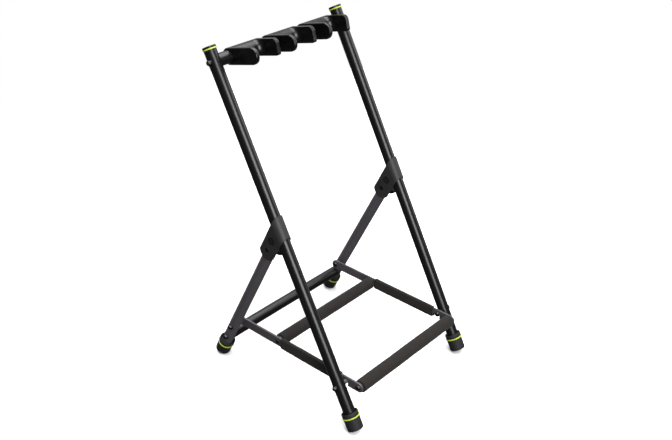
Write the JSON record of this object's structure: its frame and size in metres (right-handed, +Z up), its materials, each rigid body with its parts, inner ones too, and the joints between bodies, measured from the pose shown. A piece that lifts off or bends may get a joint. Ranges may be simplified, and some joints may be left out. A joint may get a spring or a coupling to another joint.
{
  "type": "guitar rack",
  "caption": "Folding floor rack: leaning tube uprights with hinged rear legs, a padded hook-on base frame, and forked neck yokes that slide along a top bar.",
  "frame": {"origin": "on the floor, at the centre of the rack's footprint", "axes": "+X across the rack, +Y towards its back, +Z up"},
  "size_m": [0.3836, 0.4098, 0.7021],
  "materials": {
    "black_paint": "satin",
    "grey_paint": "satin",
    "yoke_plastic": "gloss",
    "bracket_plastic": "matte",
    "black_plastic": "matte",
    "ring_green": "satin",
    "foot_rubber": "matte",
    "foam": "matte foam",
    "screw_steel": "polished",
    "pale_plastic": "satin",
    "bumper_rubber": "matte"
  },
  "bodies": {
    "main_frame": {"long_tube_left": "black_paint", "long_tube_right": "black_paint", "cap_ring_left": "ring_green", "cap_ring_right": "ring_green", "tube_cap_left": "black_plastic", "tube_cap_right": "black_plastic", "front_foot_left": "foot_rubber", "front_foot_right": "foot_rubber", "front_foot_ring_left": "ring_green", "front_foot_ring_right": "ring_green", "top_bar": "black_paint", "top_bar_inserts": "black_plastic", "top_bar_bolts": "screw_steel", "bracket_left": "bracket_plastic", "bracket_right": "bracket_plastic", "pivot_bolts": "screw_steel", "pivot_nuts": "screw_steel", "bumper_posts": "pale_plastic", "bumper_tips": "bumper_rubber", "stud_bolts": "screw_steel", "stud_bushes": "pale_plastic", "stud_nuts": "screw_steel", "frame_washers": "screw_steel"},
    "rear_legs": {"rear_leg_left": "grey_paint", "rear_leg_right": "grey_paint", "leg_plug_left": "black_plastic", "leg_plug_right": "black_plastic", "rear_foot_left": "foot_rubber", "rear_foot_right": "foot_rubber", "rear_foot_ring_left": "ring_green", "rear_foot_ring_right": "ring_green", "rear_cross_tube": "black_paint", "cross_inserts": "black_plastic", "cross_bolts": "screw_steel", "hinge_bolts": "screw_steel", "hinge_spacers": "pale_plastic", "hinge_nuts": "screw_steel", "leg_washers": "screw_steel"},
    "base_frame": {"side_bar_left": "grey_paint", "side_bar_right": "grey_paint", "side_foam_left": "foam", "side_foam_right": "foam", "front_core_tube": "black_paint", "front_foam": "foam", "front_inserts": "black_plastic", "middle_core_tube": "black_paint", "middle_foam": "foam", "middle_inserts": "black_plastic", "front_screws": "screw_steel", "middle_screws": "screw_steel"},
    "yoke_left": {"yoke_left": "yoke_plastic"},
    "yoke_centre": {"yoke_centre": "yoke_plastic"},
    "yoke_right": {"yoke_right": "yoke_plastic"}
  },
  "joints": [
    {"name": "leg_fold", "type": "hinge", "parent": "main_frame", "child": "rear_legs", "pos_m": [0, 0.03182, 0.3314], "axis": [-1, 0, 0], "range_deg": [0, 54]},
    {"name": "base_lift", "type": "hinge", "parent": "rear_legs", "child": "base_frame", "pos_m": [0, 0.15004, 0.089], "axis": [-1, 0, 0], "range_deg": [0, 63.5]},
    {"name": "yoke_left_slide", "type": "slide", "parent": "main_frame", "child": "yoke_left", "axis": [1, 0, 0], "range_m": [-0.009, 0.009]},
    {"name": "yoke_centre_slide", "type": "slide", "parent": "main_frame", "child": "yoke_centre", "axis": [1, 0, 0], "range_m": [-0.009, 0.009]},
    {"name": "yoke_right_slide", "type": "slide", "parent": "main_frame", "child": "yoke_right", "axis": [1, 0, 0], "range_m": [-0.009, 0.009]}
  ],
  "couplings": [
    {"joint": "base_lift", "follows": "leg_fold", "ratio": 1.17}
  ]
}
